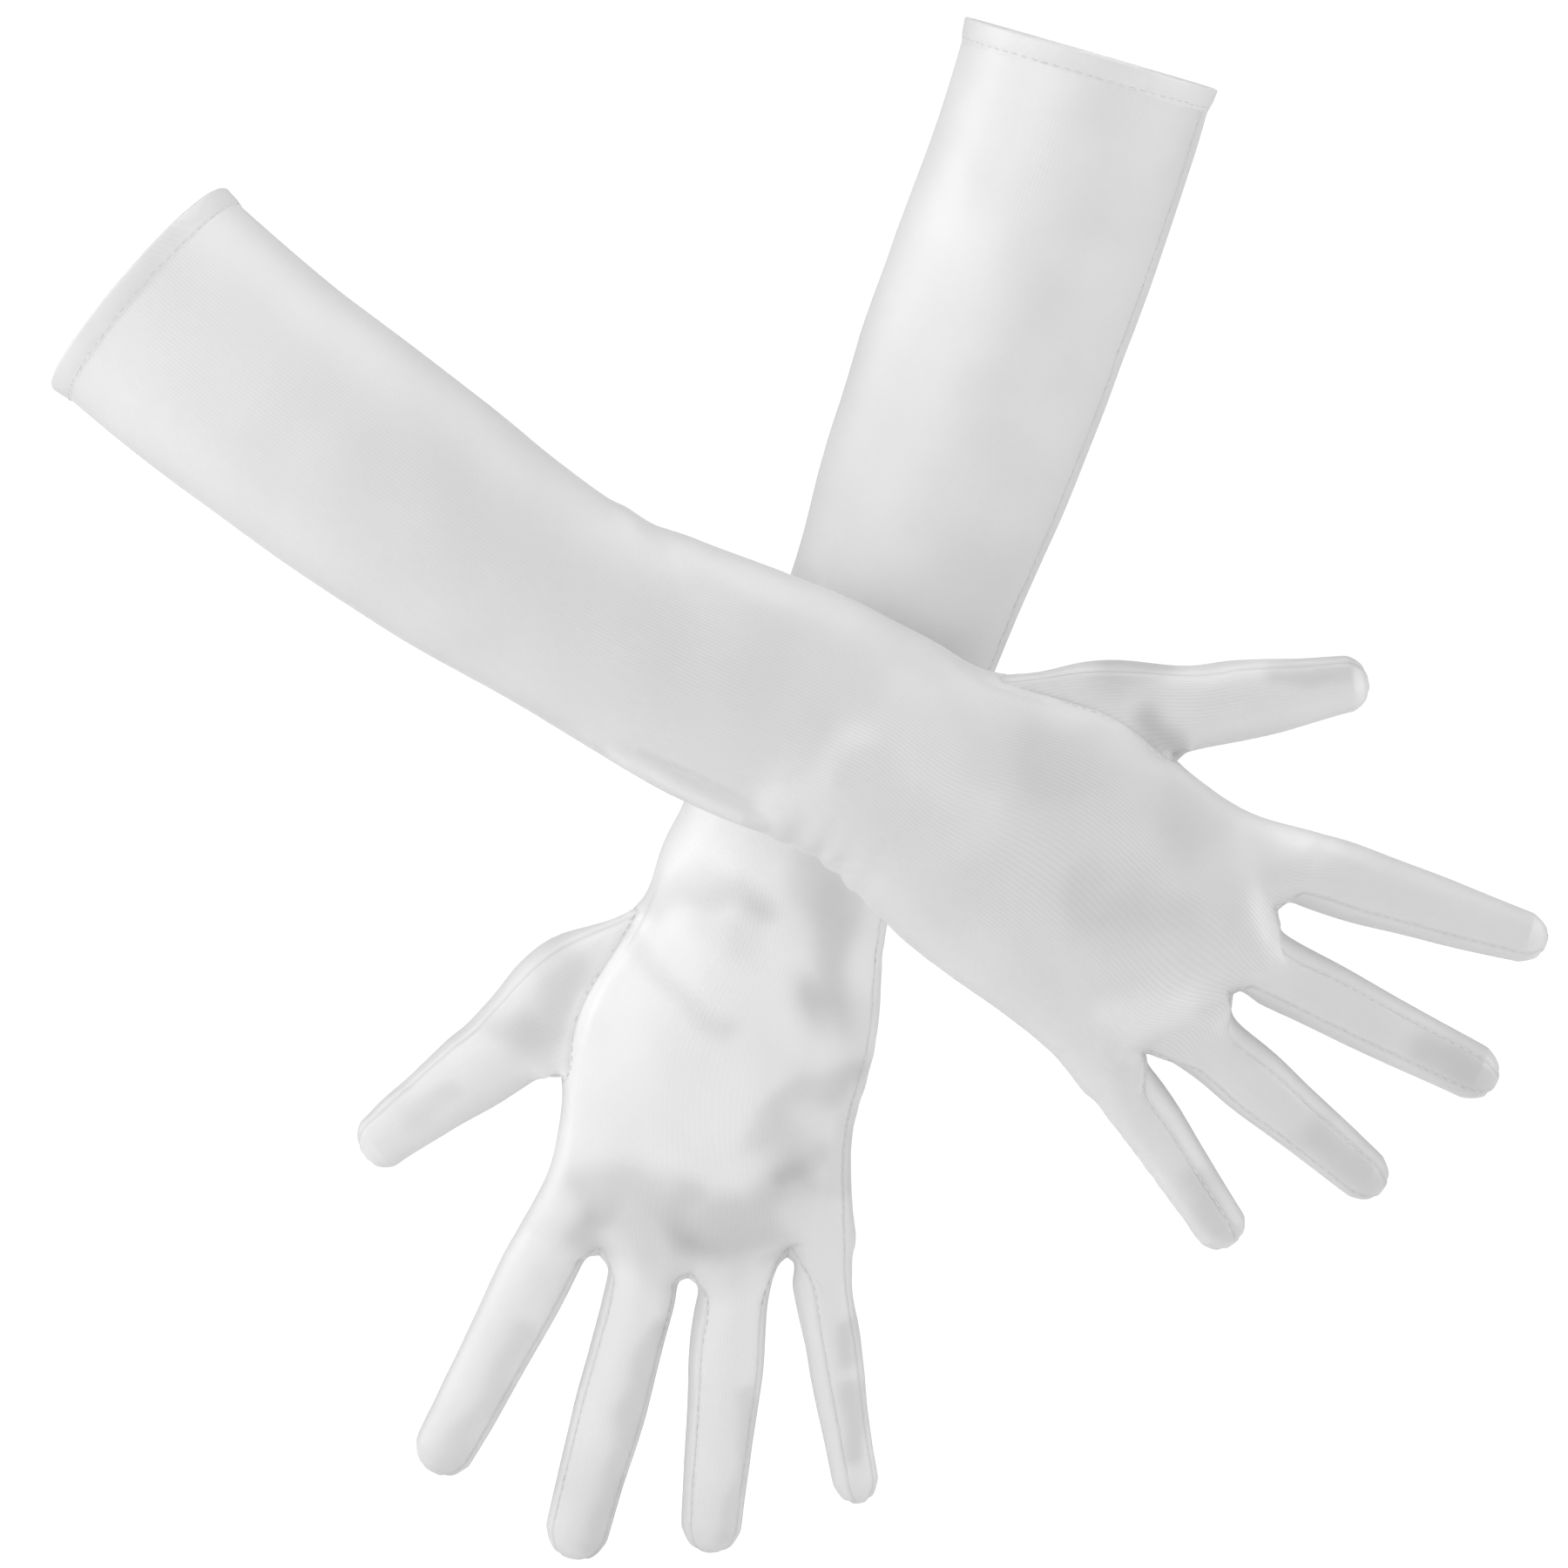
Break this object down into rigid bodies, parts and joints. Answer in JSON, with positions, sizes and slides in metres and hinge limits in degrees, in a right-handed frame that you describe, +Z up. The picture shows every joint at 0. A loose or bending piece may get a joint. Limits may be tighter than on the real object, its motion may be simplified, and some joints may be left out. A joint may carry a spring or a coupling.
{
  "type": "pair of opera gloves",
  "caption": "Pair of elbow-length white stretch-satin opera gloves with fourchette fingers, set-in thumbs and turned hems, crossed at the wrists.",
  "frame": {"origin": "middle of the pair's box in X and Y, at its lowest point in Z", "axes": "+Z up, towards the cuffs; -Y out of the backs of the hands, towards the viewer; +X to the viewer's right"},
  "size_m": [0.3726, 0.1034, 0.3931],
  "materials": {
    "glove_satin": "white stretch satin, fine lengthwise wales, soft broad sheen",
    "fourchette_satin": "the same satin cut across, a little brighter",
    "hem_satin": "two layers of the satin, turned and stitched",
    "seam_fold": "narrow folded seam edge with sewing thread",
    "thread": "white sewing thread"
  },
  "bodies": {
    "left_sleeve": {"left_sleeve_panel": "glove_satin", "left_cuff_hem": "hem_satin", "left_hem_stitching": "thread", "left_sleeve_seam": "seam_fold"},
    "left_hand": {"left_hand_panel": "glove_satin", "left_hand_seam": "seam_fold", "left_thumb_root": "glove_satin", "left_thumb_seam": "seam_fold", "left_gusset_index_middle": "fourchette_satin", "left_gusset_middle_ring": "fourchette_satin", "left_gusset_ring_little": "fourchette_satin"},
    "left_thumb_base": {"left_thumb_base": "glove_satin"},
    "left_thumb_tip": {"left_thumb_tip": "glove_satin"},
    "left_index_base": {"left_index_base_panel": "glove_satin", "left_index_ulnar_fourchette": "fourchette_satin"},
    "left_index_tip": {"left_index_tip": "glove_satin"},
    "left_middle_base": {"left_middle_base_back": "glove_satin", "left_middle_base_palm": "glove_satin", "left_middle_radial_fourchette": "fourchette_satin", "left_middle_ulnar_fourchette": "fourchette_satin"},
    "left_middle_tip": {"left_middle_tip": "glove_satin"},
    "left_ring_base": {"left_ring_base_back": "glove_satin", "left_ring_base_palm": "glove_satin", "left_ring_radial_fourchette": "fourchette_satin", "left_ring_ulnar_fourchette": "fourchette_satin"},
    "left_ring_tip": {"left_ring_tip": "glove_satin"},
    "left_little_base": {"left_little_base_panel": "glove_satin", "left_little_radial_fourchette": "fourchette_satin"},
    "left_little_tip": {"left_little_tip": "glove_satin"},
    "right_sleeve": {"right_sleeve_panel": "glove_satin", "right_cuff_hem": "hem_satin", "right_hem_stitching": "thread", "right_sleeve_seam": "seam_fold"},
    "right_hand": {"right_hand_panel": "glove_satin", "right_hand_seam": "seam_fold", "right_thumb_root": "glove_satin", "right_thumb_seam": "seam_fold", "right_gusset_index_middle": "fourchette_satin", "right_gusset_middle_ring": "fourchette_satin", "right_gusset_ring_little": "fourchette_satin"},
    "right_thumb_base": {"right_thumb_base": "glove_satin"},
    "right_thumb_tip": {"right_thumb_tip": "glove_satin"},
    "right_index_base": {"right_index_base_panel": "glove_satin", "right_index_ulnar_fourchette": "fourchette_satin"},
    "right_index_tip": {"right_index_tip": "glove_satin"},
    "right_middle_base": {"right_middle_base_back": "glove_satin", "right_middle_base_palm": "glove_satin", "right_middle_radial_fourchette": "fourchette_satin", "right_middle_ulnar_fourchette": "fourchette_satin"},
    "right_middle_tip": {"right_middle_tip": "glove_satin"},
    "right_ring_base": {"right_ring_base_back": "glove_satin", "right_ring_base_palm": "glove_satin", "right_ring_radial_fourchette": "fourchette_satin", "right_ring_ulnar_fourchette": "fourchette_satin"},
    "right_ring_tip": {"right_ring_tip": "glove_satin"},
    "right_little_base": {"right_little_base_panel": "glove_satin", "right_little_radial_fourchette": "fourchette_satin"},
    "right_little_tip": {"right_little_tip": "glove_satin"}
  },
  "joints": [
    {"name": "left_wrist", "type": "hinge", "parent": "left_sleeve", "child": "left_hand", "pos_m": [-0.00554, 0.05171, 0.17329], "axis": [0.9751, 0, -0.2215], "range_deg": [0, 50]},
    {"name": "left_thumb_base_bend", "type": "hinge", "parent": "left_hand", "child": "left_thumb_base", "pos_m": [-0.07193, 0.04569, 0.13106], "axis": [0.5783, 0, -0.8158], "range_deg": [0, 40]},
    {"name": "left_thumb_tip_bend", "type": "hinge", "parent": "left_thumb_base", "child": "left_thumb_tip", "pos_m": [-0.08991, 0.04588, 0.11831], "axis": [0.5783, 0, -0.8158], "range_deg": [0, 50]},
    {"name": "left_index_base_bend", "type": "hinge", "parent": "left_hand", "child": "left_index_base", "pos_m": [-0.0633, 0.04037, 0.0788], "axis": [0.8858, 0, -0.4641], "range_deg": [0, 50]},
    {"name": "left_index_tip_bend", "type": "hinge", "parent": "left_index_base", "child": "left_index_tip", "pos_m": [-0.07537, 0.03921, 0.05577], "axis": [0.8858, 0, -0.4641], "range_deg": [0, 65]},
    {"name": "left_middle_base_bend", "type": "hinge", "parent": "left_hand", "child": "left_middle_base", "pos_m": [-0.03924, 0.04025, 0.06968], "axis": [0.9671, 0, -0.2543], "range_deg": [0, 50]},
    {"name": "left_middle_tip_bend", "type": "hinge", "parent": "left_middle_base", "child": "left_middle_tip", "pos_m": [-0.04687, 0.03952, 0.04067], "axis": [0.9671, 0, -0.2543], "range_deg": [0, 65]},
    {"name": "left_ring_base_bend", "type": "hinge", "parent": "left_hand", "child": "left_ring_base", "pos_m": [-0.01573, 0.0402, 0.06573], "axis": [0.9952, 0, -0.0975], "range_deg": [0, 50]},
    {"name": "left_ring_tip_bend", "type": "hinge", "parent": "left_ring_base", "child": "left_ring_tip", "pos_m": [-0.01826, 0.03924, 0.03986], "axis": [0.9952, 0, -0.0975], "range_deg": [0, 65]},
    {"name": "left_little_base_bend", "type": "hinge", "parent": "left_hand", "child": "left_little_base", "pos_m": [0.00656, 0.03848, 0.07208], "axis": [0.9851, 0, 0.1722], "range_deg": [0, 50]},
    {"name": "left_little_tip_bend", "type": "hinge", "parent": "left_little_base", "child": "left_little_tip", "pos_m": [0.01069, 0.03746, 0.04844], "axis": [0.9851, 0, 0.1722], "range_deg": [0, 65]},
    {"name": "right_wrist", "type": "hinge", "parent": "right_sleeve", "child": "right_hand", "pos_m": [0.02225, -0.04229, 0.20528], "axis": [-0.515, 0, -0.8572], "range_deg": [0, 45]},
    {"name": "right_thumb_base_bend", "type": "hinge", "parent": "right_hand", "child": "right_thumb_base", "pos_m": [0.09701, -0.00669, 0.21728], "axis": [-0.1531, 0, 0.9882], "range_deg": [0, 40]},
    {"name": "right_thumb_tip_bend", "type": "hinge", "parent": "right_thumb_base", "child": "right_thumb_tip", "pos_m": [0.1188, -0.00657, 0.22065], "axis": [-0.1531, 0, 0.9882], "range_deg": [0, 50]},
    {"name": "right_index_base_bend", "type": "hinge", "parent": "right_hand", "child": "right_index_base", "pos_m": [0.12779, -0.01168, 0.17714], "axis": [0.2999, 0, 0.954], "range_deg": [0, 50]},
    {"name": "right_index_tip_bend", "type": "hinge", "parent": "right_index_base", "child": "right_index_tip", "pos_m": [0.15164, -0.01307, 0.16964], "axis": [0.2999, 0, 0.954], "range_deg": [0, 65]},
    {"name": "right_middle_base_bend", "type": "hinge", "parent": "right_hand", "child": "right_middle_base", "pos_m": [0.11753, -0.01178, 0.15322], "axis": [0.4586, 0, 0.8886], "range_deg": [0, 50]},
    {"name": "right_middle_tip_bend", "type": "hinge", "parent": "right_middle_base", "child": "right_middle_tip", "pos_m": [0.13975, -0.01331, 0.14176], "axis": [0.4586, 0, 0.8886], "range_deg": [0, 65]},
    {"name": "right_ring_base_bend", "type": "hinge", "parent": "right_hand", "child": "right_ring_base", "pos_m": [0.10366, -0.01207, 0.13323], "axis": [0.6469, 0, 0.7626], "range_deg": [0, 50]},
    {"name": "right_ring_tip_bend", "type": "hinge", "parent": "right_ring_base", "child": "right_ring_tip", "pos_m": [0.12044, -0.01362, 0.119], "axis": [0.6469, 0, 0.7626], "range_deg": [0, 65]},
    {"name": "right_little_base_bend", "type": "hinge", "parent": "right_hand", "child": "right_little_base", "pos_m": [0.08311, -0.0136, 0.12129], "axis": [0.829, 0, 0.5593], "range_deg": [0, 50]},
    {"name": "right_little_tip_bend", "type": "hinge", "parent": "right_little_base", "child": "right_little_tip", "pos_m": [0.09374, -0.01433, 0.10554], "axis": [0.829, 0, 0.5593], "range_deg": [0, 65]},
    {"name": "right_glove_lift", "type": "slide", "parent": "left_sleeve", "child": "right_sleeve", "axis": [0, -1, 0], "range_m": [0, 0.15]}
  ],
  "couplings": [
    {"joint": "left_thumb_tip_bend", "follows": "left_thumb_base_bend", "ratio": 1.25},
    {"joint": "left_index_tip_bend", "follows": "left_index_base_bend", "ratio": 1.3},
    {"joint": "left_middle_tip_bend", "follows": "left_middle_base_bend", "ratio": 1.3},
    {"joint": "left_ring_tip_bend", "follows": "left_ring_base_bend", "ratio": 1.3},
    {"joint": "left_little_tip_bend", "follows": "left_little_base_bend", "ratio": 1.3},
    {"joint": "right_thumb_tip_bend", "follows": "right_thumb_base_bend", "ratio": 1.25},
    {"joint": "right_index_tip_bend", "follows": "right_index_base_bend", "ratio": 1.3},
    {"joint": "right_middle_tip_bend", "follows": "right_middle_base_bend", "ratio": 1.3},
    {"joint": "right_ring_tip_bend", "follows": "right_ring_base_bend", "ratio": 1.3},
    {"joint": "right_little_tip_bend", "follows": "right_little_base_bend", "ratio": 1.3}
  ]
}
